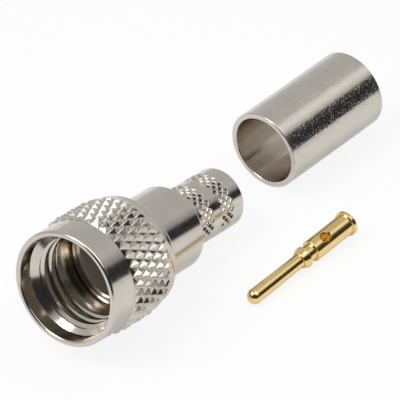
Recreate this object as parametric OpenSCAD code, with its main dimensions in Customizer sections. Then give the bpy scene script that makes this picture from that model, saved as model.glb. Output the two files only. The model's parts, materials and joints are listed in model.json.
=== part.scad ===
// Crimp plug kit for a coaxial cable.
// A plug with a captive coupling nut, the tube that is crimped over the cable's braid,
// and the pin that is crimped on to the cable's inner conductor. All lie on one surface.
// Each turned piece is drawn along its own axis with its front end at zero, and is then laid down.
// The origin is the centre of the body's front rim, the plane where the plug meets its socket.

/* [Coupling nut] */
// Diameter of the smooth collar at the mouth
collar_d = 11.24; // [11:0.02:12.4]
// Length of the smooth collar
collar_length = 3.1; // [2.4:0.1:4]
// Rise of the knurl's diamonds over the collar
knurl_rise = 0.33; // [0.24:0.01:0.4]
// Depth of the valleys between the diamonds
knurl_h = 0.4; // [0.32:0.01:0.48]
// Diamonds round the nut
knurl_count = 38; // [28:1:48]
// Length of one diamond along the axis
knurl_pitch = 2.1; // [1.8:0.05:2.6]
// Half diamonds along the knurled band
knurl_rows = 5; // [5:1:8]
// Length of the smooth cone and the plain rim behind the knurl
cone_length = 1.5; // [1.3:0.1:2.5]
// Length of the plain rim
rim_length = 0.75; // [0.4:0.05:0.9]
// Diameter of the rear rim
rear_rim_d = 11.04; // [10.4:0.02:11.2]
// Diameter of the open mouth
mouth_d = 10.1; // [9.8:0.05:10.4]
// Depth of the open mouth
mouth_depth = 1.5; // [1.2:0.1:2]
// Bore over the thread's crests
thread_bore_d = 8.5; // [8.3:0.05:8.8]
// Length of the threaded bore and its lead-in chamfer
thread_length = 3; // [2.4:0.1:3.6]
// Diameter of the smooth relief behind the thread
relief_d = 9.2; // [9:0.05:9.6]
// Length of the relief in front of the body
relief_length = 2.4; // [1.8:0.1:2.6]
// Length of the open gap between the relief and the body's front end
relief_lap = 0.5; // [0.2:0.1:0.6]

/* [Connector body] */
// Diameter of the smooth barrel
body_d = 8.24; // [7.9:0.02:8.4]
// Length of the barrel from the front rim to the shoulder
body_length = 9.1; // [8:0.1:12]
// Diameter of the cavity in the front
cavity_d = 7; // [6.6:0.05:7.1]
// Depth of the front cavity
cavity_depth = 2.7; // [2.2:0.1:3.2]
// Diameter of the crimp stem
stem_d = 5.94; // [5.6:0.02:6.4]
// Length of the crimp stem
stem_length = 7.9; // [7.4:0.1:10]
// Bore for the cable's core
cable_bore_d = 4.1; // [3.4:0.05:4.4]

/* [Crimp stem knurl] */
// Diamond pits round the stem
pit_count = 22; // [16:1:28]
// Length of one pit along the axis
pit_pitch = 0.84; // [0.7:0.02:0.9]
// Half pits along each knurled band
pit_rows = 5; // [3:1:5]
// Depth of the pits
pit_depth = 0.24; // [0.12:0.02:0.3]
// Smooth length between the shoulder and the first band
band_start = 1.2; // [0.6:0.1:1.6]
// Smooth length between the two bands
band_gap = 1; // [0.6:0.1:1.2]

/* [Retaining ring] */
// Thickness of the ring along the axis
ring_thickness = 0.7; // [0.5:0.05:0.8]
// Width of the ring's section
ring_width = 0.7; // [0.6:0.02:0.8]
// Depth of the ring's groove in the body
ring_sunk = 0.34; // [0.26:0.02:0.38]
// Width of the ring's split
ring_split = 1.4; // [0.8:0.1:2]
// Length of the nut behind the ring
ring_cover = 0.9; // [0.7:0.05:1.1]

/* [Insulator] */
// Diameter of the bush
insulator_d = 6; // [5.4:0.05:6.2]
// Length of the bush
insulator_length = 4; // [3:0.1:4.6]
// Length of the web that the contact's collar stops against
insulator_web = 1; // [0.6:0.1:1.6]

/* [Crimp ferrule] */
// Length of the ferrule
ferrule_length = 13.2; // [10:0.1:16]
// Wall of the ferrule
ferrule_wall = 0.57; // [0.4:0.01:0.8]
// Room for the cable's braid and jacket between stem and ferrule
braid_room = 0.42; // [0.3:0.02:0.7]

/* [Centre contact] */
// Diameter of the shank
shank_d = 1.49; // [1.3:0.01:1.6]
// Length of the shank from the tip to the stop collar
shank_length = 7; // [6:0.1:9]
// Diameter of the stop collar
stop_d = 2.12; // [2:0.02:2.3]
// Length of the stop collar's front cone
stop_cone = 0.7; // [0.4:0.05:1]
// Length of the stop collar's rim
stop_rim = 0.18; // [0.1:0.02:0.4]
// Diameter of the neck behind the stop collar
neck_d = 1.64; // [1.4:0.02:1.8]
// Length of the neck
neck_length = 0.92; // [0.5:0.02:1.2]
// Diameter of the crimp barrel
barrel_d = 2.14; // [2:0.02:2.3]
// Length of the crimp barrel
barrel_length = 5; // [4:0.1:6]
// Diameter of the rear flange
flange_d = 2.5; // [2.36:0.02:2.8]
// Length of the rear flange
flange_length = 0.45; // [0.3:0.05:0.7]
// Bore for the cable's inner conductor
wire_bore_d = 1.55; // [1.2:0.05:1.7]
// Depth of the wire bore
wire_bore_depth = 4.7; // [4.3:0.1:5]
// Diameter of the inspection hole
sight_d = 1.1; // [0.8:0.05:1.2]
// Distance of the inspection hole behind the barrel's front
sight_setback = 1.7; // [1.6:0.05:2]

/* [Clearances] */
// Radial clearance of the nut on the body
nut_clearance = 0.1; // [0.05:0.01:0.14]
// Clearance of the ring in the nut's groove
ring_clearance = 0.1; // [0.06:0.01:0.14]
// Clearance of pieces that are pressed or snapped into the body
seat_clearance = 0.02; // [0.01:0.01:0.04]
// Radial clearance of the contact in the insulator
contact_clearance = 0.04; // [0.02:0.01:0.08]

/* [Layout] */
// Distance from the stem's end to the ferrule
ferrule_gap = 7.3; // [4:0.1:20]
// Distance from the nut's side to the contact's tip
contact_gap = 3.8; // [2:0.1:10]
// Distance from the nut's rear rim to the contact's tip
contact_setback = 5.4; // [2:0.1:20]
// Turn of the ferrule and the contact from the plug's axis
loose_turn = 4.6; // [0:0.2:10]
// Lean of the inspection hole from straight up
sight_lean = 24; // [0:1:45]

/* [Edges] */
// Rounding of the mouth's outer edge
lip_round = 0.31; // [0.1:0.01:0.32]
// Rounding of the mouth's inner edge
mouth_round = 0.22; // [0.06:0.01:0.24]
// Chamfer of the body's front rim
rim_chamfer = 0.16; // [0.1:0.02:0.28]
// Rounding of the body's shoulder
shoulder_round = 0.3; // [0.1:0.02:0.4]
// Chamfer of the other turned edges
edge_chamfer = 0.12; // [0.05:0.01:0.16]
// Chamfer of the contact's edges
contact_chamfer = 0.08; // [0.04:0.01:0.1]

/* [Hidden] */
$fn = 96;

nickel = [0.72, 0.70, 0.66];
spring_bronze = [0.66, 0.50, 0.30];
ptfe = [0.94, 0.94, 0.92];
gold = [0.83, 0.66, 0.33];

// A knurl stands this far proud of the turned surface next to it
knurl_ledge = 0.02;
// A knurled sleeve reaches this far into the solid that carries it
knurl_root = 0.26;
// A groove under a knurled sleeve ends this far inside the sleeve's ends
band_lap = 0.08;
// Share of each pit's half width that is open, between the flat lands
pit_open = 0.68;

// The nut's knurl runs out on to the cone at this share of its height
run_out = 0.5;
// Least length of the nut's bearing between the relief and the ring's groove
bearing_land = 0.4;
collar_r = collar_d / 2;
lip_wall = (collar_d - mouth_d) / 2;
lip_r = min(lip_round, 0.56 * lip_wall);
mouth_edge_r = min(mouth_round, 0.4 * lip_wall);
peak_r = collar_r + knurl_rise;
valley_r = peak_r - knurl_h;
run_out_r = valley_r + run_out * knurl_h;
knurl_length = knurl_rows * knurl_pitch / 2;
knurl_end = collar_length + knurl_length;
nut_length = knurl_end + cone_length;
thread_start = mouth_depth + (mouth_d - thread_bore_d) / 2;
thread_end = mouth_depth + thread_length;
body_front = thread_end + relief_length;

body_r = body_d / 2;
bearing_r = body_r + nut_clearance;
ring_in_r = body_r - ring_sunk + seat_clearance;
ring_out_r = ring_in_r + ring_width;
ring_back = nut_length - ring_cover - ring_clearance;
ring_front = ring_back - ring_thickness;
relief_end = min(body_front + relief_lap, ring_front - ring_clearance - bearing_land);

stem_r = stem_d / 2;
land_r = stem_r + knurl_ledge;
pit_r = land_r - pit_depth;
band_length = pit_rows * pit_pitch / 2;
shoulder = body_front + body_length;
band_fronts = [shoulder + band_start, shoulder + band_start + band_length + band_gap];
stem_end = shoulder + stem_length;
insulator_front = body_front + cavity_depth;
insulator_back = insulator_front + insulator_length;

ferrule_bore_r = stem_r + braid_room;
ferrule_r = ferrule_bore_r + ferrule_wall;

shank_r = shank_d / 2;
stop_end = shank_length + stop_cone + stop_rim;
barrel_front = stop_end + neck_length;
flange_front = barrel_front + barrel_length;
contact_length = flange_front + flange_length;

// The plug rests on the nut, at its last row of peaks or its rear rim, and on the stem's end
rest_rings = [
    [peak_r, knurl_end - knurl_pitch / 2],
    [run_out_r, knurl_end],
    [rear_rim_d / 2, nut_length - edge_chamfer]
];
stem_rest = [stem_r, stem_end - edge_chamfer];
plug_lean = max([for (ring = rest_rings) atan((ring[0] - stem_rest[0]) / (stem_rest[1] - ring[1]))]);
floor_z = -stem_rest[0] * cos(plug_lean) - (stem_rest[1] - body_front) * sin(plug_lean);

// The contact rests on its round tip and on the stop collar's rim
stop_reach = norm([stop_end - shank_r, stop_d / 2]);
contact_lean = atan2(stop_d / 2, stop_end - shank_r) - asin(shank_r / stop_reach);

function polar(r, turn, z) = [r * cos(360 * turn), r * sin(360 * turn), z];

function arc(centre, r, from, to, steps = 6) =
    [for (i = [0:steps]) let (a = from + (to - from) * i / steps) centre + r * [cos(a), sin(a)]];

// Faces of a ring's two flat ends and its inner wall, from the first index of each loop of points
function sleeve_faces(sides, outer_front, outer_back, inner_front, inner_back) = [
    for (k = [0:sides - 1])
        let (n = (k + 1) % sides)
        each [
            [outer_front + k, outer_front + n, inner_front + n, inner_front + k],
            [outer_back + n, outer_back + k, inner_back + k, inner_back + n],
            [inner_front + n, inner_back + n, inner_back + k, inner_front + k]
        ]
];

// A ring of raised diamonds. Peaks and valleys take turns round each row, one step on from row to row,
// and the last row runs out level.
module raised_diamonds(count, rows, pitch, low_r, high_r, last_r, inner_r) {
    sides = 2 * count;
    function row_r(j, k) = j == rows ? last_r : (j + k) % 2 == 0 ? high_r : low_r;
    function at(j, k) = j * sides + k % sides;
    outer = [for (j = [0:rows], k = [0:sides - 1]) polar(row_r(j, k), k / sides, j * pitch / 2)];
    inner = [for (j = [0, rows], k = [0:sides - 1]) polar(inner_r, k / sides, j * pitch / 2)];
    facets = [
        for (j = [0:rows - 1], k = [0:sides - 1])
            each (j + k) % 2 == 0
                ? [[at(j, k), at(j + 1, k), at(j, k + 1)], [at(j, k + 1), at(j + 1, k), at(j + 1, k + 1)]]
                : [[at(j, k), at(j + 1, k + 1), at(j, k + 1)], [at(j, k), at(j + 1, k), at(j + 1, k + 1)]]
    ];
    first_inner = len(outer);
    ends = sleeve_faces(sides, 0, at(rows, 0), first_inner, first_inner + sides);
    polyhedron(concat(outer, inner), concat(facets, ends));
}

// A ring of diamond pits in a net of flat lands. Each pit is four walls that meet at its floor,
// inside four strips of land, and the ring's two ends are plain.
module diamond_pits(count, rows, pitch, high_r, low_r, open, inner_r) {
    sides = 2 * count;
    step = pitch / 2;
    function at(j, k) = j * sides + (k + sides) % sides;
    function is_pit(j, k) = j > 0 && j < rows && (j + k) % 2 == 0;
    grid = [for (j = [0:rows], k = [0:sides - 1]) polar(is_pit(j, k) ? low_r : high_r, k / sides, j * step)];
    // Corners of a pit in the order left, front, right, back
    corners = [[0, -1], [-1, 0], [0, 1], [1, 0]];
    pits = [for (j = [1:rows - 1], i = [0:count - 1]) [j, 2 * i + j % 2]];
    edges = [
        for (p = pits, c = corners)
            polar(high_r, (p[1] + open * c[1]) / sides, (p[0] + open * c[0]) * step)
    ];
    inner = [for (j = [0, rows], k = [0:sides - 1]) polar(inner_r, k / sides, j * step)];
    first_edge = len(grid);
    first_inner = first_edge + len(edges);
    strips = [
        for (m = [0:len(pits) - 1], c = [0:3])
            let (
                d = (c + 1) % 4,
                p = pits[m],
                corner_c = at(p[0] + corners[c][0], p[1] + corners[c][1]),
                corner_d = at(p[0] + corners[d][0], p[1] + corners[d][1]),
                edge_c = first_edge + 4 * m + c,
                edge_d = first_edge + 4 * m + d
            )
            each [[corner_d, corner_c, edge_c], [corner_d, edge_c, edge_d], [edge_d, edge_c, at(p[0], p[1])]]
    ];
    plain_front = [
        for (k = [0:2:sides - 1])
            each [[at(0, k), at(0, k - 1), at(1, k)], [at(0, k + 1), at(0, k), at(1, k)]]
    ];
    plain_back = [
        for (k = [rows % 2:2:sides - 1])
            each [[at(rows - 1, k), at(rows, k - 1), at(rows, k)], [at(rows - 1, k), at(rows, k), at(rows, k + 1)]]
    ];
    ends = sleeve_faces(sides, 0, at(rows, 0), first_inner, first_inner + sides);
    polyhedron(concat(grid, edges, inner), concat(strips, plain_front, plain_back, ends));
}

// Lays the plug down with its mouth towards -Y and the body's front rim at the origin
module lay_plug() {
    rotate([-90 - plug_lean, 0, 0])
        translate([0, 0, -body_front])
            children();
}

module coupling_nut() {
    color(nickel)
        lay_plug() {
            rotate_extrude()
                polygon(concat(
                    arc([collar_r - lip_r, lip_r], lip_r, -90, 0),
                    [
                        [collar_r, collar_length + band_lap],
                        [valley_r - knurl_root / 2, collar_length + band_lap],
                        [valley_r - knurl_root / 2, knurl_end - band_lap],
                        [run_out_r - knurl_ledge, knurl_end],
                        [rear_rim_d / 2, nut_length - rim_length],
                        [rear_rim_d / 2, nut_length - edge_chamfer],
                        [rear_rim_d / 2 - edge_chamfer, nut_length],
                        [bearing_r + edge_chamfer, nut_length],
                        [bearing_r, nut_length - edge_chamfer],
                        [bearing_r, ring_back + ring_clearance],
                        [ring_out_r + ring_clearance, ring_back + ring_clearance],
                        [ring_out_r + ring_clearance, ring_front - ring_clearance],
                        [bearing_r, ring_front - ring_clearance],
                        [bearing_r, relief_end + edge_chamfer],
                        [bearing_r + edge_chamfer, relief_end],
                        [relief_d / 2, relief_end],
                        [relief_d / 2, thread_end + (relief_d - thread_bore_d) / 2],
                        [thread_bore_d / 2, thread_end],
                        [thread_bore_d / 2, thread_start],
                        [mouth_d / 2, mouth_depth]
                    ],
                    arc([mouth_d / 2 + mouth_edge_r, mouth_edge_r], mouth_edge_r, 180, 270)
                ));
            translate([0, 0, collar_length])
                raised_diamonds(
                    knurl_count, knurl_rows, knurl_pitch, valley_r, peak_r, run_out_r, valley_r - knurl_root
                );
        }
}

module connector_body() {
    color(nickel)
        lay_plug() {
            rotate_extrude()
                polygon(concat(
                    [
                        [cavity_d / 2, body_front],
                        [body_r - rim_chamfer, body_front],
                        [body_r, body_front + rim_chamfer],
                        [body_r, ring_front - seat_clearance],
                        [body_r - ring_sunk, ring_front - seat_clearance],
                        [body_r - ring_sunk, ring_back + seat_clearance],
                        [body_r, ring_back + seat_clearance]
                    ],
                    arc([body_r - shoulder_round, shoulder - shoulder_round], shoulder_round, 0, 90),
                    [[stem_r, shoulder]],
                    [
                        for (front = band_fronts)
                            each [
                                [stem_r, front + band_lap],
                                [pit_r - knurl_root / 2, front + band_lap],
                                [pit_r - knurl_root / 2, front + band_length - band_lap],
                                [stem_r, front + band_length - band_lap]
                            ]
                    ],
                    [
                        [stem_r, stem_end - edge_chamfer],
                        [stem_r - edge_chamfer, stem_end],
                        [cable_bore_d / 2 + edge_chamfer, stem_end],
                        [cable_bore_d / 2, stem_end - edge_chamfer],
                        [cable_bore_d / 2, insulator_back],
                        [insulator_d / 2 + seat_clearance, insulator_back],
                        [insulator_d / 2 + seat_clearance, insulator_front],
                        [cavity_d / 2, insulator_front]
                    ]
                ));
            for (front = band_fronts)
                translate([0, 0, front])
                    diamond_pits(pit_count, pit_rows, pit_pitch, land_r, pit_r, pit_open, pit_r - knurl_root);
        }
}

module retaining_ring() {
    color(spring_bronze)
        lay_plug()
            difference() {
                rotate_extrude()
                    translate([ring_in_r, ring_front])
                        square([ring_width, ring_thickness]);
                translate([-ring_split / 2, 0, ring_front - ring_thickness])
                    cube([ring_split, 2 * ring_out_r, 3 * ring_thickness]);
            }
}

module insulator() {
    front_bore_r = shank_r + contact_clearance;
    stop_bore_r = max(stop_d, barrel_d) / 2 + contact_clearance;
    color(ptfe)
        lay_plug()
            rotate_extrude()
                polygon([
                    [front_bore_r, insulator_front],
                    [insulator_d / 2 - edge_chamfer, insulator_front],
                    [insulator_d / 2, insulator_front + edge_chamfer],
                    [insulator_d / 2, insulator_back],
                    [stop_bore_r + edge_chamfer, insulator_back],
                    [stop_bore_r, insulator_back - edge_chamfer],
                    [stop_bore_r, insulator_front + insulator_web],
                    [front_bore_r, insulator_front + insulator_web]
                ]);
}

module crimp_ferrule() {
    color(nickel)
        translate([0, (stem_end - body_front) * cos(plug_lean) + ferrule_gap, floor_z + ferrule_r])
            rotate([0, 0, -loose_turn])
                rotate([-90, 0, 0])
                    rotate_extrude()
                        polygon([
                            [ferrule_bore_r + edge_chamfer, 0],
                            [ferrule_r - edge_chamfer, 0],
                            [ferrule_r, edge_chamfer],
                            [ferrule_r, ferrule_length - edge_chamfer],
                            [ferrule_r - edge_chamfer, ferrule_length],
                            [ferrule_bore_r + edge_chamfer, ferrule_length],
                            [ferrule_bore_r, ferrule_length - edge_chamfer],
                            [ferrule_bore_r, edge_chamfer]
                        ]);
}

// The contact along its own axis, with its tip at zero
module contact_turning() {
    translate([0, 0, shank_r])
        sphere(shank_r);
    rotate_extrude()
        polygon([
            [0, shank_r],
            [shank_r, shank_r],
            [shank_r, shank_length],
            [stop_d / 2, stop_end - stop_rim],
            [stop_d / 2, stop_end - contact_chamfer],
            [stop_d / 2 - contact_chamfer, stop_end],
            [neck_d / 2, stop_end],
            [neck_d / 2, barrel_front],
            [barrel_d / 2 - contact_chamfer, barrel_front],
            [barrel_d / 2, barrel_front + contact_chamfer],
            [barrel_d / 2, flange_front],
            [flange_d / 2 - contact_chamfer, flange_front],
            [flange_d / 2, flange_front + contact_chamfer],
            [flange_d / 2, contact_length - contact_chamfer],
            [flange_d / 2 - contact_chamfer, contact_length],
            [0, contact_length]
        ]);
}

module centre_contact() {
    rear_y = (nut_length - body_front) * cos(plug_lean);
    bore_mouth = wire_bore_d / 2 + contact_chamfer;
    color(gold)
        translate([peak_r + contact_gap, rear_y + contact_setback, floor_z + shank_r * (1 - sin(contact_lean))])
            rotate([0, 0, -loose_turn])
                rotate([contact_lean - 90, 0, 0])
                    difference() {
                        contact_turning();
                        translate([0, 0, contact_length - wire_bore_depth])
                            cylinder(d = wire_bore_d, h = wire_bore_depth + 1);
                        translate([0, 0, contact_length - contact_chamfer])
                            cylinder(r1 = wire_bore_d / 2, r2 = bore_mouth, h = contact_chamfer);
                        translate([0, 0, barrel_front + sight_setback])
                            rotate([90, 0, sight_lean])
                                cylinder(d = sight_d, h = barrel_d);
                    }
}

coupling_nut();
connector_body();
retaining_ring();
insulator();
crimp_ferrule();
centre_contact();
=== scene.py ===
# Crimp plug kit for a coaxial cable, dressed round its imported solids.
# The plug lies with its mouth to the front, its loose ferrule behind it and its loose contact beside it.
import json
import math

import bmesh
import bpy
from mathutils import Matrix, Vector


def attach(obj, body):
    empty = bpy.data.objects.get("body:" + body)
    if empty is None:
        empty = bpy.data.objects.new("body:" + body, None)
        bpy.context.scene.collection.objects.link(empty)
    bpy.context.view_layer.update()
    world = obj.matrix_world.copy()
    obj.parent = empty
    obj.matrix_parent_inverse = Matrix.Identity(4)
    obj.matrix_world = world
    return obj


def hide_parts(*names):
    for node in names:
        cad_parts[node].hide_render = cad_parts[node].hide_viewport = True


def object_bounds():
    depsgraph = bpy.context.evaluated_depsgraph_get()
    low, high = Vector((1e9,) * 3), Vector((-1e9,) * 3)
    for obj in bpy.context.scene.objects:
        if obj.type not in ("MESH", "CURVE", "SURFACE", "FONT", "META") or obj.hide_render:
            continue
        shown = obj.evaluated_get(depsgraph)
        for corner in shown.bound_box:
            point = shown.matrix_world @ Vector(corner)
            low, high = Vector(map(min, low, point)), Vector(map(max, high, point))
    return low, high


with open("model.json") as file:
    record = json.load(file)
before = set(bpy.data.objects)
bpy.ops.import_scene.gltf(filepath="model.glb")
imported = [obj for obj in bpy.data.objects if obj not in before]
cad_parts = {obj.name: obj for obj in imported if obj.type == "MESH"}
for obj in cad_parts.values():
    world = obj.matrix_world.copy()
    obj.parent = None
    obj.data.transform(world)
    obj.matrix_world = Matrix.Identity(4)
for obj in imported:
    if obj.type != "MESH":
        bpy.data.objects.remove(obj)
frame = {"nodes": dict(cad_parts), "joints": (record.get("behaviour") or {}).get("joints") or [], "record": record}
cad_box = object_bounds()

# Connector body. Turned from brass rod and plated with bright nickel: a smooth barrel with an open cavity
# in front, and a crimp stem behind with two bands of rolled diamond pits that grip the cable's braid.
# Sizes are in millimetres, and lengths along the plug start at the mouth of its nut.
MM = 0.001
mounts = {mount["name"]: mount for mount in frame["record"]["mounts"]}
hinge = frame["joints"][0]
cavity = mounts["mating_cavity"]["dims"]
BODY_FRONT = 6.9
SHOULDER = 16.0
STEM_END = 23.9
CAVITY_R = cavity["r_mm"]
CAVITY_END = BODY_FRONT + cavity["length_mm"]
BARREL_WALL = 0.62
BARREL_R = CAVITY_R + BARREL_WALL
STEM_R = mounts["crimp_stem"]["dims"]["r_mm"]
CABLE_R = mounts["cable_bore"]["dims"]["r_mm"]
SEAT_R = 3.02
SEAT_END = 13.6
RING_SEAT = (8.13, 8.87)
RING_SEAT_R = 3.78
RIM_WIDTH = 0.14
RIM_BEVEL = 0.42
CAVITY_EDGE = 0.03
RIM_EDGE = 0.04
BEVEL_EDGE = 0.06
SHOULDER_ROUND = 0.3
STEM_FILLET = 0.06
STEM_EDGE = 0.1
FINE_EDGE = 0.02
PIT_BANDS = (17.2, 20.3)
PIT_COUNT = 22
PIT_ROWS = 5
PIT_PITCH = 0.84
PIT_DEPTH = 0.26
PIT_OPEN = 0.82
PIT_CREASE = 0.04
PIT_LIP = 0.16
PIT_OUT_STEPS = (0, 0.1, 0.5, 0.75, 0.9, 1)
PIT_TURN_STEPS = (0, 0.1, 0.9, 1)
LAND_RISE = 0.004
BAND_ROOT = 0.2
BAND_LAP = 0.08
SAME_POINT = 1e-5
NO_LENGTH = 1e-6
ROLLED_SEAM = 1e-4


def lying(point, axis):
    """Takes a piece that is drawn along +Z in millimetres to where it lies, with its own +Y downwards."""
    along = Vector(axis).normalized()
    across = along.cross((0, 0, 1)).normalized()
    turn = Matrix((across, along.cross(across), along)).transposed()
    return Matrix.Translation(point) @ turn.to_4x4() @ Matrix.Scale(MM, 4)


def placed(name, data):
    """A new object in the scene."""
    thing = bpy.data.objects.new(name, data)
    bpy.context.scene.collection.objects.link(thing)
    return thing


def rounded(corners, steps=7):
    """Outline of (radius, length, rounding) corners, with each rounding drawn as an arc."""
    outline = []
    for i, (radius, length, rounding) in enumerate(corners):
        here = Vector((radius, length))
        if not rounding:
            outline.append(here)
            continue
        before = (Vector(corners[i - 1][:2]) - here).normalized()
        after = (Vector(corners[(i + 1) % len(corners)][:2]) - here).normalized()
        half = before.angle(after) / 2
        centre = here + (before + after).normalized() * rounding / math.sin(half)
        first = here + before * rounding / math.tan(half) - centre
        last = here + after * rounding / math.tan(half) - centre
        for step in range(steps + 1):
            outline.append(centre + first.slerp(last, step / steps).normalized() * rounding)
    return outline


def closed(mesh):
    """Merges the points that meet, drops faces that vanished and turns the faces outwards."""
    work = bmesh.new()
    work.from_mesh(mesh)
    bmesh.ops.remove_doubles(work, verts=work.verts, dist=SAME_POINT)
    bmesh.ops.dissolve_degenerate(work, edges=work.edges, dist=NO_LENGTH)
    bmesh.ops.recalc_face_normals(work, faces=work.faces)
    work.to_mesh(mesh)
    work.free()


def turned(name, outline, sides=360):
    """A closed solid of revolution round +Z, from its outline's (radius, length) points."""
    points = []
    for radius, length in outline:
        for side in range(sides):
            angle = 2 * math.pi * side / sides
            points.append((radius * math.cos(angle), radius * math.sin(angle), length))
    faces = []
    for row in range(len(outline)):
        here = row * sides
        ahead = (row + 1) % len(outline) * sides
        for side in range(sides):
            beside = (side + 1) % sides
            faces.append((here + side, here + beside, ahead + beside, ahead + side))
    mesh = bpy.data.meshes.new(name)
    mesh.from_pydata(points, [], faces)
    closed(mesh)
    return placed(name, mesh)


def applied(piece):
    """Turns a piece and its modifiers into a plain mesh."""
    shape = piece.evaluated_get(bpy.context.evaluated_depsgraph_get())
    mesh = bpy.data.meshes.new_from_object(shape)
    piece.modifiers.clear()
    piece.data = mesh
    return piece


def worked(piece, tool, operation):
    """Joins a tool to a piece, cuts it away or keeps what both share, and removes the tool."""
    cut = piece.modifiers.new(operation.lower(), "BOOLEAN")
    cut.operation = operation
    cut.solver = "MANIFOLD"
    cut.object = tool
    applied(piece)
    bpy.data.objects.remove(tool)
    return piece


def finished(piece, place, material, crease=32):
    """Gives a piece its finish, shades it smooth up to a crease in degrees, and lays it down."""
    mesh = piece.data
    mesh.materials.clear()
    mesh.materials.append(material)
    mesh.polygons.foreach_set("material_index", [0] * len(mesh.polygons))
    mesh.polygons.foreach_set("use_smooth", [True] * len(mesh.polygons))
    mesh.set_sharp_from_angle(angle=math.radians(crease))
    weighted = piece.modifiers.new("weighted_normals", "WEIGHTED_NORMAL")
    weighted.keep_sharp = True
    applied(piece).data.transform(place)
    return piece


def add_node(tree, kind, inputs=None, **settings):
    """Adds a node, sets its properties, and joins its inputs to sockets or sets them to values."""
    made = tree.nodes.new(kind)
    for name, value in settings.items():
        setattr(made, name, value)
    for slot, source in (inputs or {}).items():
        if isinstance(source, bpy.types.NodeSocket):
            tree.links.new(source, made.inputs[slot])
        else:
            made.inputs[slot].default_value = source
    return made


def calc(tree, operation, *values):
    """The result of a Math node."""
    return add_node(tree, "ShaderNodeMath", dict(enumerate(values)), operation=operation).outputs[0]


def joined(tree, x=0.0, y=0.0, z=0.0):
    """A vector of three values."""
    return add_node(tree, "ShaderNodeCombineXYZ", {"X": x, "Y": y, "Z": z}).outputs[0]


def parted(tree, vector):
    """A vector's values, named X, Y and Z."""
    return add_node(tree, "ShaderNodeSeparateXYZ", {"Vector": vector}).outputs


def diamond(name, relief, out_steps, turn_steps):
    """One flat diamond, one unit from its centre to each corner, raised by relief(across, along)."""
    work = bmesh.new()
    for side, end in ((1, 1), (-1, 1), (-1, -1), (1, -1)):
        rows = []
        for out in out_steps:
            flat = [(side * out * (1 - turn), end * out * turn) for turn in turn_steps]
            rows.append([work.verts.new((u, v, relief(abs(u), abs(v)))) for u, v in flat])
        for near, far in zip(rows, rows[1:]):
            for k in range(len(turn_steps) - 1):
                face = (near[k], far[k], far[k + 1], near[k + 1])
                work.faces.new(face if side * end > 0 else face[::-1])
    bmesh.ops.remove_doubles(work, verts=work.verts, dist=SAME_POINT)
    mesh = bpy.data.meshes.new(name)
    work.to_mesh(mesh)
    work.free()
    return placed(name, mesh)


def new_tree(name, inputs, result):
    """An empty tree of geometry nodes with named inputs and one shape as its result, and its inputs."""
    tree = bpy.data.node_groups.new(name, "GeometryNodeTree")
    for label, kind in inputs:
        tree.interface.new_socket(label, in_out="INPUT", socket_type="NodeSocket" + kind)
    tree.interface.new_socket(result, in_out="OUTPUT", socket_type="NodeSocketGeometry")
    return tree, tree.nodes.new("NodeGroupInput").outputs


def end_tree(tree, shape, material, result):
    """Makes a tree's repeats real, gives the shape its material and hands it out."""
    shape = add_node(tree, "GeometryNodeRealizeInstances", {"Geometry": shape}).outputs[0]
    shape = add_node(tree, "GeometryNodeSetMaterial", {"Geometry": shape, "Material": material}).outputs[0]
    add_node(tree, "NodeGroupOutput", {result: shape})
    return tree


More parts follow.
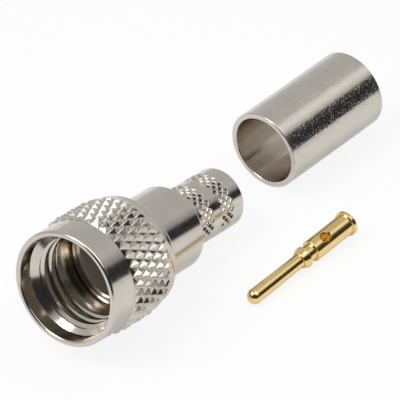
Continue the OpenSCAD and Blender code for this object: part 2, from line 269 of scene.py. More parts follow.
def knurl_tree():
    """Nodes that repeat one flat diamond in staggered rows and roll the sheet into a ring round +Z."""
    tree, given = new_tree("rolled_knurl", (
        ("Diamond", "Geometry"), ("Count", "Int"), ("Rows", "Int"), ("Pitch", "Float"),
        ("Floor Radius", "Float"), ("Height", "Float"), ("Start", "Float"), ("Plain Ends", "Float"),
        ("Finish", "Material"),
    ), "Knurl")
    index = tree.nodes.new("GeometryNodeInputIndex").outputs[0]
    row = calc(tree, "FLOOR", calc(tree, "DIVIDE", calc(tree, "ADD", index, 0.5), given["Count"]))
    place = calc(tree, "SUBTRACT", index, calc(tree, "MULTIPLY", row, given["Count"]))
    step = calc(tree, "ADD", calc(tree, "MULTIPLY", place, 2), calc(tree, "MODULO", row, 2))
    total = calc(tree, "MULTIPLY", calc(tree, "ADD", given["Rows"], 1), given["Count"])
    grid = {"Count": total, "Position": joined(tree, step, row)}
    spots = add_node(tree, "GeometryNodePoints", grid).outputs[0]
    named = {"Geometry": spots, "Name": "row", "Value": row}
    spots = add_node(tree, "GeometryNodeStoreNamedAttribute", named, data_type="FLOAT").outputs[0]
    repeat = {"Points": spots, "Instance": given["Diamond"]}
    sheet = add_node(tree, "GeometryNodeInstanceOnPoints", repeat).outputs[0]
    sheet = add_node(tree, "GeometryNodeRealizeInstances", {"Geometry": sheet}).outputs[0]
    flat = parted(tree, tree.nodes.new("GeometryNodeInputPosition").outputs[0])
    before = calc(tree, "LESS_THAN", flat["Y"], 0)
    after = calc(tree, "GREATER_THAN", flat["Y"], given["Rows"])
    trim = {"Geometry": sheet, "Selection": calc(tree, "ADD", before, after)}
    sheet = add_node(tree, "GeometryNodeDeleteGeometry", trim, domain="FACE").outputs[0]
    stored = {"Name": "row"}
    own_row = add_node(tree, "GeometryNodeInputNamedAttribute", stored, data_type="FLOAT").outputs[0]
    from_end = calc(tree, "MINIMUM", own_row, calc(tree, "SUBTRACT", given["Rows"], own_row))
    plain = calc(tree, "MULTIPLY", given["Plain Ends"], calc(tree, "LESS_THAN", from_end, 0.5))
    raised = calc(tree, "MAXIMUM", flat["Z"], plain)
    radius = calc(tree, "MULTIPLY_ADD", raised, given["Height"], given["Floor Radius"])
    angle = calc(tree, "DIVIDE", calc(tree, "MULTIPLY", flat["X"], math.pi), given["Count"])
    half_pitch = calc(tree, "DIVIDE", given["Pitch"], 2)
    rolled = joined(
        tree,
        calc(tree, "MULTIPLY", radius, calc(tree, "COSINE", angle)),
        calc(tree, "MULTIPLY", radius, calc(tree, "SINE", angle)),
        calc(tree, "MULTIPLY_ADD", flat["Y"], half_pitch, given["Start"]),
    )
    ring = add_node(tree, "GeometryNodeSetPosition", {"Geometry": sheet, "Position": rolled}).outputs[0]
    seam = {"Geometry": ring, "Distance": ROLLED_SEAM}
    ring = add_node(tree, "GeometryNodeMergeByDistance", seam).outputs[0]
    ring = add_node(tree, "GeometryNodeRemoveAttribute", {"Geometry": ring, "Name": "row"}).outputs[0]
    return end_tree(tree, ring, given["Finish"], "Knurl")


def shaped_by(piece, tree, values):
    """Runs a node tree on a piece with the given inputs and keeps the plain mesh."""
    nodes = piece.modifiers.new(tree.name, "NODES")
    nodes.node_group = tree
    for socket in tree.interface.items_tree:
        if socket.name in values:
            nodes[socket.identifier] = values[socket.name]
    return applied(piece)


def sleeve(piece, inner_r):
    """Gives a rolled ring flat ends and an inner wall, so that it is a closed solid."""
    work = bmesh.new()
    work.from_mesh(piece.data)
    rim = [edge for edge in work.edges if edge.is_boundary]
    grown = bmesh.ops.extrude_edge_only(work, edges=rim)["geom"]
    for part in grown:
        if isinstance(part, bmesh.types.BMVert):
            part.co.xy = part.co.xy.normalized() * inner_r
    bmesh.ops.bridge_loops(work, edges=[edge for edge in work.edges if edge.is_boundary])
    bmesh.ops.recalc_face_normals(work, faces=work.faces)
    work.to_mesh(piece.data)
    work.free()
    return piece


def new_finish(name):
    """A new material, its nodes and its shader."""
    material = bpy.data.materials.new(name)
    material.use_nodes = True
    tree = material.node_tree
    return material, tree, tree.nodes["Principled BSDF"]


def own_axis(tree, place):
    """A piece's own coordinates in millimetres, and its turning lines: how far out and how far along."""
    shift, turn, scale = place.inverted().decompose()
    seen = tree.nodes.new("ShaderNodeTexCoord").outputs["Object"]
    seen = {"Vector": seen, "Location": shift, "Rotation": turn.to_euler(), "Scale": scale}
    own = add_node(tree, "ShaderNodeMapping", seen).outputs[0]
    split = parted(tree, own)
    squared = calc(tree, "MULTIPLY", split["Y"], split["Y"])
    squared = calc(tree, "MULTIPLY_ADD", split["X"], split["X"], squared)
    return own, joined(tree, calc(tree, "SQRT", squared), split["Z"])


def noise(tree, vector, scale, detail=2.0, roughness=0.55):
    """Noise from 0 to 1, with its scale in cells per unit of the vector."""
    made = {"Vector": vector, "Scale": scale, "Detail": detail, "Roughness": roughness}
    return add_node(tree, "ShaderNodeTexNoise", made).outputs["Fac"]


def spread(tree, value, low, high, start=0.3, stop=0.7):
    """Spreads a range of values, by default the middle range of a noise, over low to high."""
    made = {"Value": value, "From Min": start, "From Max": stop, "To Min": low, "To Max": high}
    return add_node(tree, "ShaderNodeMapRange", made).outputs["Result"]


def blend(tree, share, first, second):
    """A colour that goes from the first to the second as the share goes from 0 to 1."""
    made = {"Factor": share, "A": first, "B": second}
    return add_node(tree, "ShaderNodeMix", made, data_type="RGBA").outputs["Result"]


CLOUD_SCALE = 0.45
GLOSS_SCALE = 1.3
TURNING_SCALE = 9.0
FINE_DETAIL = 3.0
SPECK_RANGE = (0.58, 0.83)
RING_GLOSS = (-0.2, 0.2)
CLOUD_GLOSS = (0.8, 1.2)
DRAWN_STRETCH = (1, 1, 0.03)
DRAWN_SCALE = 3.0
DRAWN_HEIGHT = 0.02
# Painted shade: a near-black colour that darkens the stem's pits towards their floors.
PIT_SHADE_COLOUR = (0.12, 0.11, 0.1)
PIT_SHADE_SHARE = 0.75
PIT_SHADE_RISE = 0.2
PIT_SHADE_BELOW = 0.05
PIT_SHADE_END = STEM_END - 1


def painted_shade_in_pits(tree, from_axis, along, pit_r):
    """How much painted shade darkens the pits in front of the stem's end: most on their floors, at pit_r."""
    share = spread(tree, from_axis, PIT_SHADE_SHARE, 0, pit_r, pit_r + PIT_SHADE_RISE)
    share = calc(tree, "MULTIPLY", share, calc(tree, "GREATER_THAN", from_axis, pit_r - PIT_SHADE_BELOW))
    return calc(tree, "MULTIPLY", share, calc(tree, "LESS_THAN", along, PIT_SHADE_END))


def plated(name, place, bright, dull, roughness, turning, grain, grain_size, drawn_r=0, pit_r=0):
    """A bright plated finish: clouding of its colour and gloss, turning lines round its axis and a grain.

    Nearer to the axis than drawn_r the grain gives way to lines along the axis, as a drawn tube has.
    Pits that reach down to pit_r get painted shade, darker towards their floors."""
    material, tree, shader = new_finish(name)
    own, lines = own_axis(tree, place)
    from_axis, along, _ = parted(tree, lines)
    clouds = spread(tree, noise(tree, own, CLOUD_SCALE, FINE_DETAIL), 0, 1)
    tint = blend(tree, clouds, (*bright, 1), (*dull, 1))
    if pit_r:
        # Painted shade in the pits, darkest on their floors.
        tint = blend(tree, painted_shade_in_pits(tree, from_axis, along, pit_r), tint, (*PIT_SHADE_COLOUR, 1))
    tree.links.new(tint, shader.inputs["Base Color"])
    rings = noise(tree, lines, TURNING_SCALE, FINE_DETAIL)
    specks = spread(tree, noise(tree, own, 1 / grain_size, detail=1.0), 0, 1, *SPECK_RANGE)
    cloudy = spread(tree, noise(tree, own, GLOSS_SCALE), *CLOUD_GLOSS)
    gloss = calc(tree, "ADD", spread(tree, rings, *RING_GLOSS), cloudy)
    tree.links.new(calc(tree, "MULTIPLY", gloss, roughness), shader.inputs["Roughness"])
    height = calc(tree, "MULTIPLY_ADD", specks, grain, calc(tree, "MULTIPLY", rings, turning))
    if drawn_r:
        stretched = {"Vector": own, "Scale": DRAWN_STRETCH}
        stretched = add_node(tree, "ShaderNodeMapping", stretched).outputs[0]
        drawn = calc(tree, "MULTIPLY", noise(tree, stretched, DRAWN_SCALE, FINE_DETAIL), DRAWN_HEIGHT)
        outside = {"Factor": calc(tree, "GREATER_THAN", from_axis, drawn_r), "A": drawn, "B": height}
        height = add_node(tree, "ShaderNodeMix", outside).outputs["Result"]
    relief = add_node(tree, "ShaderNodeBump", {"Height": height, "Strength": 1.0, "Distance": MM})
    tree.links.new(relief.outputs["Normal"], shader.inputs["Normal"])
    shader.inputs["Metallic"].default_value = 1.0
    return material


NICKEL_BRIGHT = (0.67, 0.628, 0.57)
NICKEL_DULL = (0.635, 0.59, 0.53)
plug_mouth = Vector(hinge["pos_m"]) - Vector(hinge["axis"]) * BODY_FRONT * MM
plug_place = lying(plug_mouth, hinge["axis"])
pit_floor_r = STEM_R + LAND_RISE - PIT_DEPTH
# The body's finish carries painted shade in the stem's pits.
body_nickel = plated(
    "body_nickel", plug_place, NICKEL_BRIGHT, NICKEL_DULL,
    roughness=0.15, turning=0.0003, grain=0.0004, grain_size=0.3, pit_r=pit_floor_r,
)


def pit_relief(across, along):
    """Four walls rise from a pit's floor and round over on to the land between the pits."""
    reach = math.hypot(across, PIT_CREASE) + math.hypot(along, PIT_CREASE)
    below = (PIT_OPEN - reach) / PIT_OPEN
    lip = max(below + PIT_LIP, 0) ** 2 / (4 * PIT_LIP) if below < PIT_LIP else 0
    return 1 - max(below, lip)


groove_r = pit_floor_r - BAND_ROOT / 2
pit_length = PIT_ROWS * PIT_PITCH / 2
body_corners = [
    (CAVITY_R, BODY_FRONT, CAVITY_EDGE),
    (CAVITY_R + RIM_WIDTH, BODY_FRONT, RIM_EDGE),
    (BARREL_R, BODY_FRONT + RIM_BEVEL, BEVEL_EDGE),
    (BARREL_R, RING_SEAT[0], FINE_EDGE),
    (RING_SEAT_R, RING_SEAT[0], FINE_EDGE),
    (RING_SEAT_R, RING_SEAT[1], FINE_EDGE),
    (BARREL_R, RING_SEAT[1], FINE_EDGE),
    (BARREL_R, SHOULDER, SHOULDER_ROUND),
    (STEM_R, SHOULDER, STEM_FILLET),
]
for band in PIT_BANDS:
    groove_start = band + BAND_LAP
    groove_end = band + pit_length - BAND_LAP
    body_corners += [
        (STEM_R, groove_start, 0),
        (groove_r, groove_start, 0),
        (groove_r, groove_end, 0),
        (STEM_R, groove_end, 0),
    ]
body_corners += [
    (STEM_R, STEM_END, STEM_EDGE),
    (CABLE_R, STEM_END, STEM_EDGE),
    (CABLE_R, SEAT_END, FINE_EDGE),
    (SEAT_R, SEAT_END, FINE_EDGE),
    (SEAT_R, CAVITY_END, FINE_EDGE),
    (CAVITY_R, CAVITY_END, FINE_EDGE),
]
plug_body = turned("plug_body", rounded(body_corners))
rolled_knurl = knurl_tree()
for band in PIT_BANDS:
    one_pit = diamond("stem_pits", pit_relief, PIT_OUT_STEPS, PIT_TURN_STEPS)
    pits = shaped_by(one_pit, rolled_knurl, {
        "Count": PIT_COUNT, "Rows": PIT_ROWS, "Pitch": PIT_PITCH, "Floor Radius": pit_floor_r,
        "Height": PIT_DEPTH, "Start": band, "Plain Ends": 1.0, "Finish": body_nickel,
    })
    plug_body = worked(plug_body, sleeve(pits, pit_floor_r - BAND_ROOT), "UNION")
finished(plug_body, plug_place, body_nickel)
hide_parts("connector_body")
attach(plug_body, "plug")

# Insulator. A bush turned from white PTFE, pressed into the body behind the cavity. Its front web stops
# the contact's collar.
BUSH_R = 3.0
BUSH_WEB = 1.0
BUSH_FRONT_EDGE = 0.12
BUSH_REAR_EDGE = 0.1
WAY_EDGE = 0.03
PIN_CLEARANCE = 0.04
PIN_WAY_R = mounts["contact_shank"]["dims"]["r_mm"] + PIN_CLEARANCE
STOP_WAY_R = 1.11
PTFE_BRIGHT = (0.86, 0.86, 0.84)
PTFE_DULL = (0.8, 0.8, 0.77)
PTFE_CLOUDS = 0.8
PTFE_TURNING = 7.0
PTFE_GLOSS = (0.38, 0.52)
PTFE_DEPTH = 0.4 * MM
PTFE_RELIEF = 0.01 * MM
bush_corners = [
    (PIN_WAY_R, CAVITY_END, WAY_EDGE),
    (BUSH_R, CAVITY_END, BUSH_FRONT_EDGE),
    (BUSH_R, SEAT_END, FINE_EDGE),
    (STOP_WAY_R, SEAT_END, BUSH_REAR_EDGE),
    (STOP_WAY_R, CAVITY_END + BUSH_WEB, WAY_EDGE),
    (PIN_WAY_R, CAVITY_END + BUSH_WEB, WAY_EDGE),
]


def turned_ptfe(name, place):
    """Matt, slightly waxy white plastic with faint turning lines."""
    material, tree, shader = new_finish(name)
    own, lines = own_axis(tree, place)
    clouds = spread(tree, noise(tree, own, PTFE_CLOUDS, FINE_DETAIL), 0, 1)
    tint = blend(tree, clouds, (*PTFE_BRIGHT, 1), (*PTFE_DULL, 1))
    tree.links.new(tint, shader.inputs["Base Color"])
    rings = noise(tree, lines, PTFE_TURNING, FINE_DETAIL)
    tree.links.new(spread(tree, rings, *PTFE_GLOSS), shader.inputs["Roughness"])
    relief = add_node(tree, "ShaderNodeBump", {"Height": rings, "Strength": 0.4, "Distance": PTFE_RELIEF})
    tree.links.new(relief.outputs["Normal"], shader.inputs["Normal"])
    shader.inputs["Subsurface Weight"].default_value = 0.2
    shader.inputs["Subsurface Radius"].default_value = (PTFE_DEPTH, PTFE_DEPTH, PTFE_DEPTH)
    return material


bush_ptfe = turned_ptfe("bush_ptfe", plug_place)
bush = turned("dielectric_bush", rounded(bush_corners), sides=192)
finished(bush, plug_place, bush_ptfe)
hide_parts("insulator")
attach(bush, "plug")

# Retaining ring. A split ring of drawn bronze wire that snaps into the body's groove and holds the nut on.
# It is hidden between the two, so the solid itself stays and only gets its finish.
BRONZE_BRIGHT = (0.62, 0.42, 0.23)
BRONZE_DULL = (0.5, 0.33, 0.18)
ring_bronze = plated(
    "ring_bronze", plug_place, BRONZE_BRIGHT, BRONZE_DULL,
    roughness=0.3, turning=0.001, grain=0.001, grain_size=0.2,
)
ring = frame["nodes"]["retaining_ring"]
ring.data.materials.clear()
ring.data.materials.append(ring_bronze)

# Coupling nut. Turned from brass and plated with bright nickel: a smooth collar at the mouth, a rolled
# diamond knurl, a cone turned behind it, and a screw thread inside. It spins on the body.
COLLAR_R = 5.62
COLLAR_END = 3.1
COLLAR_LIP = 0.24
COLLAR_EDGE = 0.04
NUT_END = 9.85
REAR_RIM_R = 5.52
REAR_RIM_ROUND = 0.42
RIM_START = 9.1
CONE_SLOPE = 0.28
KNURL_COUNT = 38
KNURL_ROWS = 6
KNURL_PITCH = 2.1
KNURL_FLOOR_R = 5.59
KNURL_HEIGHT = 0.45
KNURL_RUN_OUT = (7.9, 8.6)
KNURL_FRONT_R = 5.63
KNURL_ROOT_R = 5.38
UNDER_KNURL_R = 5.5
RIDGE_ACROSS = 0.09
RIDGE_ALONG = 0.07
VALLEY_ROUND = 0.04
KNURL_OUT_STEPS = (0, 0.16, 0.55, 0.92, 1)
KNURL_TURN_STEPS = (0, 0.16, 0.84, 1)
MOUTH_R = 5.05
MOUTH_DEPTH = 1.5
MOUTH_LIP = 0.22
MOUTH_EDGE = 0.05
THREAD_R = mounts["coupling_thread"]["dims"]["r_mm"]
THREAD_END = 4.5
THREAD_RUN_OUT = 0.35
THREAD_EDGE = 0.04
THREAD_PITCH = 25.4 / 24
THREAD_TURNS = 4.75
THREAD_START = -0.31
THREAD_ROOT_R = 4.61
THREAD_ROOT_WIDTH = 0.2
THREAD_FLANK = math.radians(30)
THREAD_OVERCUT = 0.15
THREAD_STEPS = 180
RELIEF_R = 4.6
RELIEF_START = THREAD_END + THREAD_RUN_OUT
RELIEF_END = 7.44
BEARING_CLEARANCE = 0.1
BEARING_R = BARREL_R + BEARING_CLEARANCE
BEARING_START = 7.9
BEARING_FUNNEL = 0.26
BEARING_EDGE = 0.05
BEARING_REAR_EDGE = 0.1
RING_GROOVE = (8.05, 8.95)
RING_GROOVE_R = 4.6
NUT_CREASE = 40
nut_nickel = plated(
    "nut_nickel", plug_place, NICKEL_BRIGHT, NICKEL_DULL,
    roughness=0.15, turning=0.0003, grain=0.0004, grain_size=0.3,
)


def cone_r(length):
    """Radius of the cone behind the knurl at a length from the mouth."""
    return REAR_RIM_R + CONE_SLOPE * (RIM_START - length)


def knurl_relief(across, along):
    """A pyramid with rounded ridges and valleys."""
    fall = 1 - math.hypot(across, RIDGE_ACROSS) - math.hypot(along, RIDGE_ALONG)
    return math.hypot(max(fall, 0), VALLEY_ROUND)


nut_corners = [
    (COLLAR_R, 0, COLLAR_LIP),
    (COLLAR_R, COLLAR_END + BAND_LAP, COLLAR_EDGE),
    (UNDER_KNURL_R, COLLAR_END + BAND_LAP, 0),
    (UNDER_KNURL_R, KNURL_RUN_OUT[0], 0),
    (cone_r(KNURL_RUN_OUT[1]), KNURL_RUN_OUT[1], 0),
    (REAR_RIM_R, RIM_START, 0),
    (REAR_RIM_R, NUT_END, REAR_RIM_ROUND),
    (BEARING_R, NUT_END, BEARING_REAR_EDGE),
    (BEARING_R, RING_GROOVE[1], FINE_EDGE),
    (RING_GROOVE_R, RING_GROOVE[1], FINE_EDGE),
    (RING_GROOVE_R, RING_GROOVE[0], FINE_EDGE),
    (BEARING_R, RING_GROOVE[0], FINE_EDGE),
    (BEARING_R, BEARING_START, BEARING_EDGE),
    (BEARING_R + BEARING_FUNNEL, RELIEF_END, FINE_EDGE),
    (RELIEF_R, RELIEF_END, FINE_EDGE),
    (RELIEF_R, RELIEF_START, THREAD_EDGE),
    (THREAD_R, THREAD_END, THREAD_EDGE),
    (THREAD_R, MOUTH_DEPTH + MOUTH_R - THREAD_R, THREAD_EDGE),
    (MOUTH_R, MOUTH_DEPTH, MOUTH_EDGE),
    (MOUTH_R, 0, MOUTH_LIP),
]
nut = turned("coupling_nut_dressed", rounded(nut_corners))
one_diamond = diamond("nut_knurl", knurl_relief, KNURL_OUT_STEPS, KNURL_TURN_STEPS)
diamonds = shaped_by(one_diamond, rolled_knurl, {
    "Count": KNURL_COUNT, "Rows": KNURL_ROWS, "Pitch": KNURL_PITCH, "Floor Radius": KNURL_FLOOR_R,
    "Height": KNURL_HEIGHT, "Start": COLLAR_END, "Plain Ends": 0.0, "Finish": nut_nickel,
})
diamonds = sleeve(diamonds, KNURL_ROOT_R)

# The knurl's ends are turned off after rolling: a bevel of 45 degrees in front and the long cone behind.
BLANK_IN_R = 5.2
BLANK_OUT_R = 6.2
BLANK_REAR = 9.0
BLANK_LEAD = 0.2
blank_front = COLLAR_END - BLANK_LEAD
cone_start = RIM_START - (BLANK_OUT_R - REAR_RIM_R) / CONE_SLOPE
turned_ends = turned("knurl_ends", [
    Vector((BLANK_IN_R, blank_front)),
    Vector((KNURL_FRONT_R - BLANK_LEAD, blank_front)),
    Vector((BLANK_OUT_R, COLLAR_END + BLANK_OUT_R - KNURL_FRONT_R)),
    Vector((BLANK_OUT_R, cone_start)),
    Vector((cone_r(BLANK_REAR), BLANK_REAR)),
    Vector((BLANK_IN_R, BLANK_REAR)),
])
diamonds = worked(diamonds, turned_ends, "INTERSECT")
nut = worked(nut, diamonds, "UNION")


def thread_tree():
    """Nodes that sweep a thread's groove along a helix round +Z."""
    tree, given = new_tree("thread_groove", (
        ("Pitch", "Float"), ("Turns", "Float"), ("Crest Radius", "Float"), ("Root Radius", "Float"),
        ("Root Width", "Float"), ("Start", "Float"), ("Finish", "Material"),
    ), "Groove")
    helix = {
        "Resolution": THREAD_STEPS, "Rotations": given["Turns"], "Start Radius": given["Crest Radius"],
        "End Radius": given["Crest Radius"], "Reverse": True,
        "Height": calc(tree, "MULTIPLY", given["Pitch"], given["Turns"]),
    }
    path = add_node(tree, "GeometryNodeCurveSpiral", helix).outputs[0]
    path = add_node(tree, "GeometryNodeSetCurveNormal", {"Curve": path}, mode="Z_UP").outputs[0]
    deep = calc(tree, "SUBTRACT", given["Root Radius"], given["Crest Radius"])
    half_root = calc(tree, "DIVIDE", given["Root Width"], 2)
    inside = -THREAD_OVERCUT
    full_depth = calc(tree, "SUBTRACT", deep, inside)
    half_mouth = calc(tree, "MULTIPLY_ADD", full_depth, math.tan(THREAD_FLANK), half_root)
    ends = ((inside, half_mouth, -1), (deep, half_root, -1), (deep, half_root, 1), (inside, half_mouth, 1))
    section = {}
    for number, (out, half, sign) in enumerate(ends, 1):
        section[f"Point {number}"] = joined(tree, out, calc(tree, "MULTIPLY", half, sign))
    section = add_node(tree, "GeometryNodeCurvePrimitiveQuadrilateral", section, mode="POINTS").outputs[0]
    swept = {"Curve": path, "Profile Curve": section, "Fill Caps": True}
    groove = add_node(tree, "GeometryNodeCurveToMesh", swept).outputs[0]
    lift = {"Geometry": groove, "Offset": joined(tree, z=given["Start"])}
    groove = add_node(tree, "GeometryNodeSetPosition", lift).outputs[0]
    return end_tree(tree, groove, given["Finish"], "Groove")


groove = placed("thread_groove", bpy.data.meshes.new("thread_groove"))
groove = shaped_by(groove, thread_tree(), {
    "Pitch": THREAD_PITCH, "Turns": THREAD_TURNS, "Crest Radius": THREAD_R, "Root Radius": THREAD_ROOT_R,
    "Root Width": THREAD_ROOT_WIDTH, "Start": THREAD_START, "Finish": nut_nickel,
})
closed(groove.data)
nut = worked(nut, groove, "DIFFERENCE")
finished(nut, plug_place, nut_nickel, NUT_CREASE)
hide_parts("coupling_nut")
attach(nut, "nut")

# Crimp ferrule. A plain drawn brass tube, cut to length and nickel plated in a tumbling barrel, which leaves
# a fine grain outside. It lies loose behind the stem.
FERRULE_BORE_R = mounts["ferrule_bore"]["dims"]["r_mm"]
FERRULE_R = 3.96
FERRULE_LENGTH = 13.2
FERRULE_EDGE = 0.13
FERRULE_DRAWN_R = 3.7
ferrule_middle = Vector(mounts["ferrule_bore"]["pos_m"])
ferrule_axis = Vector(mounts["ferrule_bore"]["axis"]).normalized()
ferrule_place = lying(ferrule_middle - ferrule_axis * FERRULE_LENGTH / 2 * MM, ferrule_axis)
ferrule_nickel = plated(
    "ferrule_nickel", ferrule_place, NICKEL_BRIGHT, NICKEL_DULL,
    roughness=0.15, turning=0.0002, grain=0.0128, grain_size=0.15, drawn_r=FERRULE_DRAWN_R,
)
ferrule_corners = [
    (FERRULE_BORE_R, 0, FERRULE_EDGE),
    (FERRULE_R, 0, FERRULE_EDGE),
    (FERRULE_R, FERRULE_LENGTH, FERRULE_EDGE),
    (FERRULE_BORE_R, FERRULE_LENGTH, FERRULE_EDGE),
]
ferrule = turned("ferrule_tube", rounded(ferrule_corners))
finished(ferrule, ferrule_place, ferrule_nickel)
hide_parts("crimp_ferrule")
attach(ferrule, "plug")

# Centre contact. A pin turned from bronze and plated with gold: a round-tipped shank, a stop collar, a neck
# and a drilled barrel with an inspection hole, which is crimped on to the cable's inner conductor.
# Its lengths start at its tip.
SHANK_R = mounts["contact_shank"]["dims"]["r_mm"]
WIRE_R = mounts["wire_bore"]["dims"]["r_mm"]
WIRE_DEPTH = 4.7
SHANK_END = 6.95
STOP_R = 1.06
STOP_START = 7.7
STOP_END = 7.88
NECK_R = 0.82
NECK_END = 8.8
CONTACT_BARREL_R = 1.07
FLANGE_R = 1.25
FLANGE_START = 13.8
CONTACT_LENGTH = 14.25
SHANK_FILLET = 0.06
NECK_FILLET = 0.04
STOP_EDGE = 0.05
BARREL_EDGE = 0.08
SIGHT_R = 0.55
SIGHT_ALONG = 10.5
SIGHT_LEAN = math.radians(24)
SINK_START = 0.94
SINK_END = 1.12
SINK_WIDTH = 0.12
DRILL_LENGTH = 2
TIP_STEPS = 16
GOLD_BRIGHT = (0.91, 0.69, 0.31)
GOLD_DULL = (0.87, 0.65, 0.28)
shank_axis = -Vector(mounts["contact_shank"]["axis"]).normalized()
shank_middle = Vector(mounts["contact_shank"]["pos_m"])
shank_length = mounts["contact_shank"]["dims"]["length_mm"]
contact_place = lying(shank_middle - shank_axis * (shank_length / 2 + SHANK_R) * MM, shank_axis)
contact_gold = plated(
    "contact_gold", contact_place, GOLD_BRIGHT, GOLD_DULL,
    roughness=0.15, turning=0.0003, grain=0.0004, grain_size=0.2,
)
tip = [
    Vector((SHANK_R * math.sin(turn), SHANK_R * (1 - math.cos(turn))))
    for turn in (math.pi / 2 * step / TIP_STEPS for step in range(TIP_STEPS + 1))
]
contact_corners = [
    (SHANK_R, SHANK_END, SHANK_FILLET),
    (STOP_R, STOP_START, STOP_EDGE),
    (STOP_R, STOP_END, STOP_EDGE),
    (NECK_R, STOP_END, NECK_FILLET),
    (NECK_R, NECK_END, STOP_EDGE),
    (CONTACT_BARREL_R, NECK_END, BARREL_EDGE),
    (CONTACT_BARREL_R, FLANGE_START, STOP_EDGE),
    (FLANGE_R, FLANGE_START, BARREL_EDGE),
    (FLANGE_R, CONTACT_LENGTH, BARREL_EDGE),
    (WIRE_R, CONTACT_LENGTH, BARREL_EDGE),
    (WIRE_R, CONTACT_LENGTH - WIRE_DEPTH, STOP_EDGE),
    (0, CONTACT_LENGTH - WIRE_DEPTH, 0),
]
contact = turned("contact_pin", tip + rounded(contact_corners), sides=192)
drill = turned("sight_drill", [
    Vector((0, 0)),
    Vector((SIGHT_R, 0)),
    Vector((SIGHT_R, SINK_START)),
    Vector((SIGHT_R + SINK_WIDTH, SINK_END)),
    Vector((SIGHT_R + SINK_WIDTH, DRILL_LENGTH)),
    Vector((0, DRILL_LENGTH)),
], sides=96)
outwards = Vector((math.sin(SIGHT_LEAN), -math.cos(SIGHT_LEAN), 0))
drill_turn = outwards.to_track_quat("Z", "Y").to_matrix().to_4x4()
drill.data.transform(Matrix.Translation((0, 0, SIGHT_ALONG)) @ drill_turn)
contact = worked(contact, drill, "DIFFERENCE")
finished(contact, contact_place, contact_gold)
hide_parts("centre_contact")
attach(contact, "plug")

# Table. A round board of white paper under the pieces. A painted falloff of light makes it a little darker away
# from them, and it is lifted to white where the camera sees it, with the pieces' shadow kept.
TABLE_R = 0.7
TABLE_GAP = 0.02 * MM
PAINTED_POOL_NEAR = 0.86
PAINTED_POOL_FAR = 0.76
PAINTED_POOL_FADE = (0.02, 0.07)
SEEN_LIFT = 0.88
MIRRORED_LIFT = 0.4
WHITE = (1, 1, 1, 1)
low, high = cad_box
middle = (low + high) / 2


def lifted(tree):
    """How far the table is lifted to white: most where the camera sees it, less where it is seen in metal."""
    path = tree.nodes.new("ShaderNodeLightPath").outputs
    mirrored = calc(tree, "MAXIMUM", path["Is Glossy Ray"], path["Is Transmission Ray"])
    seen = calc(tree, "MULTIPLY", path["Is Camera Ray"], SEEN_LIFT)
    return calc(tree, "MAXIMUM", seen, calc(tree, "MULTIPLY", mirrored, MIRRORED_LIFT))


def white_board_with_painted_falloff(name):
    """White paper with a painted falloff of light that darkens it away from the pieces, lifted to white where it
    is seen.
    """
    material, tree, _ = new_finish(name)
    tree.nodes.clear()
    spot = tree.nodes.new("ShaderNodeTexCoord").outputs["Object"]
    away = add_node(tree, "ShaderNodeVectorMath", {0: spot, 1: middle}, operation="DISTANCE").outputs["Value"]
    # Painted falloff of light: the paper's colour darkens away from the pieces.
    paper_in_painted_pool = spread(tree, away, PAINTED_POOL_NEAR, PAINTED_POOL_FAR, *PAINTED_POOL_FADE)
    paper_in_painted_pool = add_node(tree, "ShaderNodeBsdfDiffuse", {"Color": paper_in_painted_pool}).outputs[0]
    glow = add_node(tree, "ShaderNodeEmission", {"Color": WHITE, "Strength": 1.0}).outputs[0]
    mixed = add_node(tree, "ShaderNodeMixShader", {0: lifted(tree), 1: paper_in_painted_pool, 2: glow}).outputs[0]
    add_node(tree, "ShaderNodeOutputMaterial", {"Surface": mixed})
    return material


table_mesh = bpy.data.meshes.new("table")
work = bmesh.new()
bmesh.ops.create_circle(work, cap_ends=True, radius=TABLE_R, segments=96)
work.to_mesh(table_mesh)
work.free()
table_mesh.transform(Matrix.Translation((middle.x, middle.y, low.z - TABLE_GAP)))
table_mesh.materials.append(white_board_with_painted_falloff("table_white"))
table = placed("table", table_mesh)

# Studio. A pale backdrop behind and over the pieces that opens towards the camera, with a glow high at its
# back and a dark patch overhead, a pale wall at the right, and three soft boxes over the pieces.
# An edge in the room is a direction, and how far that way, from -1 to 1, it starts and stops.
DARK_ROOM = 0.03
BACKDROP = 0.58
LOW_GAIN = 0.035
GLOW_GAIN = 0.42
OVERHEAD_SHARE = 0.35
OPENING_SHARE = 0.5
SIDE_WALL = 0.4
UP = (0, 0, 1)
DOWN = (0, 0, -1)
TO_OPENING = (0.815, -0.380, -0.439)
OPENING_FADE = (TO_OPENING, 0.05, -0.3)
OPENING_EDGE = (TO_OPENING, 0.03, -0.04)
OVERHEAD_EDGE = (UP, 0.99, 0.9)
LOW_EDGE = (UP, 0.5, 0.1)
GLOW_EDGE = ((0.408, 0.562, 0.719), 0.927, 0.9976)
WALL_BACK = ((-0.087, 0.996, 0), 0, 0.12)
LOW_WALL_FRONT = ((0.469, -0.883, 0), 0.02, 0.12)
LOW_WALL_TOP = (UP, 0.24, 0.14)
HIGH_WALL_FRONT = ((0.588, -0.809, 0), 0, 0.1)
HIGH_WALL_FOOT = (UP, 0.42, 0.52)


def within(tree, direction, start, stop):
    """0 before an edge's start and 1 past its stop, with a soft change between them."""
    seen = {0: tree.nodes.new("ShaderNodeTexCoord").outputs["Generated"], 1: direction}
    way = add_node(tree, "ShaderNodeVectorMath", seen, operation="DOT_PRODUCT").outputs["Value"]
    ramp = {"Value": way, "From Min": start, "From Max": stop, "To Min": 0.0, "To Max": 1.0}
    return add_node(tree, "ShaderNodeMapRange", ramp, interpolation_type="SMOOTHSTEP").outputs["Result"]


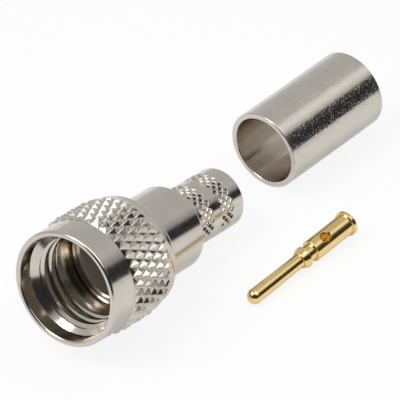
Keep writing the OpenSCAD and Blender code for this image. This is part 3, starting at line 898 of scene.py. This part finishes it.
def backdrop_light(tree):
    """Light of the backdrop: dimmer near its opening and overhead, brighter low down and in its glow."""
    shown = calc(tree, "MULTIPLY_ADD", within(tree, *OPENING_FADE), 1 - OPENING_SHARE, OPENING_SHARE)
    shown = calc(tree, "MULTIPLY", within(tree, *OPENING_EDGE), shown)
    overhead = calc(tree, "MULTIPLY_ADD", within(tree, *OVERHEAD_EDGE), 1 - OVERHEAD_SHARE, OVERHEAD_SHARE)
    shown = calc(tree, "MULTIPLY", shown, overhead)
    lit = calc(tree, "MULTIPLY_ADD", within(tree, *LOW_EDGE), LOW_GAIN, BACKDROP - LOW_GAIN)
    lit = calc(tree, "MULTIPLY_ADD", within(tree, *GLOW_EDGE), GLOW_GAIN, lit)
    return calc(tree, "MULTIPLY_ADD", shown, lit, DARK_ROOM)


def wall_light(tree):
    """Where the wall at the right is: a low stretch and a high one, with a gap between them."""
    low_wall = calc(tree, "MULTIPLY", within(tree, *LOW_WALL_FRONT), within(tree, *LOW_WALL_TOP))
    high_wall = calc(tree, "MULTIPLY", within(tree, *HIGH_WALL_FRONT), within(tree, *HIGH_WALL_FOOT))
    return calc(tree, "MULTIPLY", within(tree, *WALL_BACK), calc(tree, "ADD", low_wall, high_wall))


def studio_room(name):
    """The room round the pieces, which the camera itself sees as plain white."""
    world = bpy.data.worlds.new(name)
    world.use_nodes = True
    tree = world.node_tree
    tree.nodes.clear()
    room = calc(tree, "MULTIPLY_ADD", wall_light(tree), SIDE_WALL, backdrop_light(tree))
    seen = tree.nodes.new("ShaderNodeLightPath").outputs["Is Camera Ray"]
    light = {"Color": WHITE, "Strength": calc(tree, "MAXIMUM", room, seen)}
    light = add_node(tree, "ShaderNodeBackground", light).outputs[0]
    add_node(tree, "ShaderNodeOutputWorld", {"Surface": light})
    return world


def soft_box(name, offset, faces, width, depth, brightness):
    """A soft box at an offset from the pieces' middle, in metres, turned to face in a direction."""
    lamp = bpy.data.lights.new(name, "AREA")
    lamp.shape = "RECTANGLE"
    lamp.size = width
    lamp.size_y = depth
    lamp.energy = brightness * math.pi * width * depth
    box = placed(name, lamp)
    box.location = middle + Vector(offset)
    box.rotation_euler = (-Vector(faces)).to_track_quat("Z", "Y").to_euler()
    box.visible_camera = False


bpy.context.scene.world = studio_room("studio")
left_offset = Vector((-0.128, -0.197, 0.324))
soft_box("left_soft_box", left_offset, -left_offset, width=0.145, depth=0.22, brightness=8.0)
soft_box("right_soft_box", (0.19, 0.035, 0.4), DOWN, width=0.416, depth=0.34, brightness=1.3)
soft_box("right_lamp", (0.106, 0.16, 0.4), DOWN, width=0.468, depth=0.12, brightness=0.8)

# Camera. A long lens that looks down at the pieces from the front right, which keeps their far ends nearly
# as large as their near ones.
LENS = 360
SENSOR = 36
CAMERA_PLACE = (0.17471, -0.22355, 0.22940)
rightwards = Vector((0.8054, 0.5927, 0)).normalized()
backwards = Vector((0.4666, -0.6340, 0.6167)).normalized()
upwards = backwards.cross(rightwards).normalized()
lens = bpy.data.cameras.new("camera")
lens.lens = LENS
lens.sensor_width = SENSOR
camera = placed("camera", lens)
camera_turn = Matrix((rightwards, upwards, backwards)).transposed().to_4x4()
camera.matrix_world = Matrix.Translation(CAMERA_PLACE) @ camera_turn
bpy.context.scene.camera = camera
bpy.context.scene.view_settings.view_transform = "Standard"
bpy.context.scene.cycles.glossy_bounces = 8
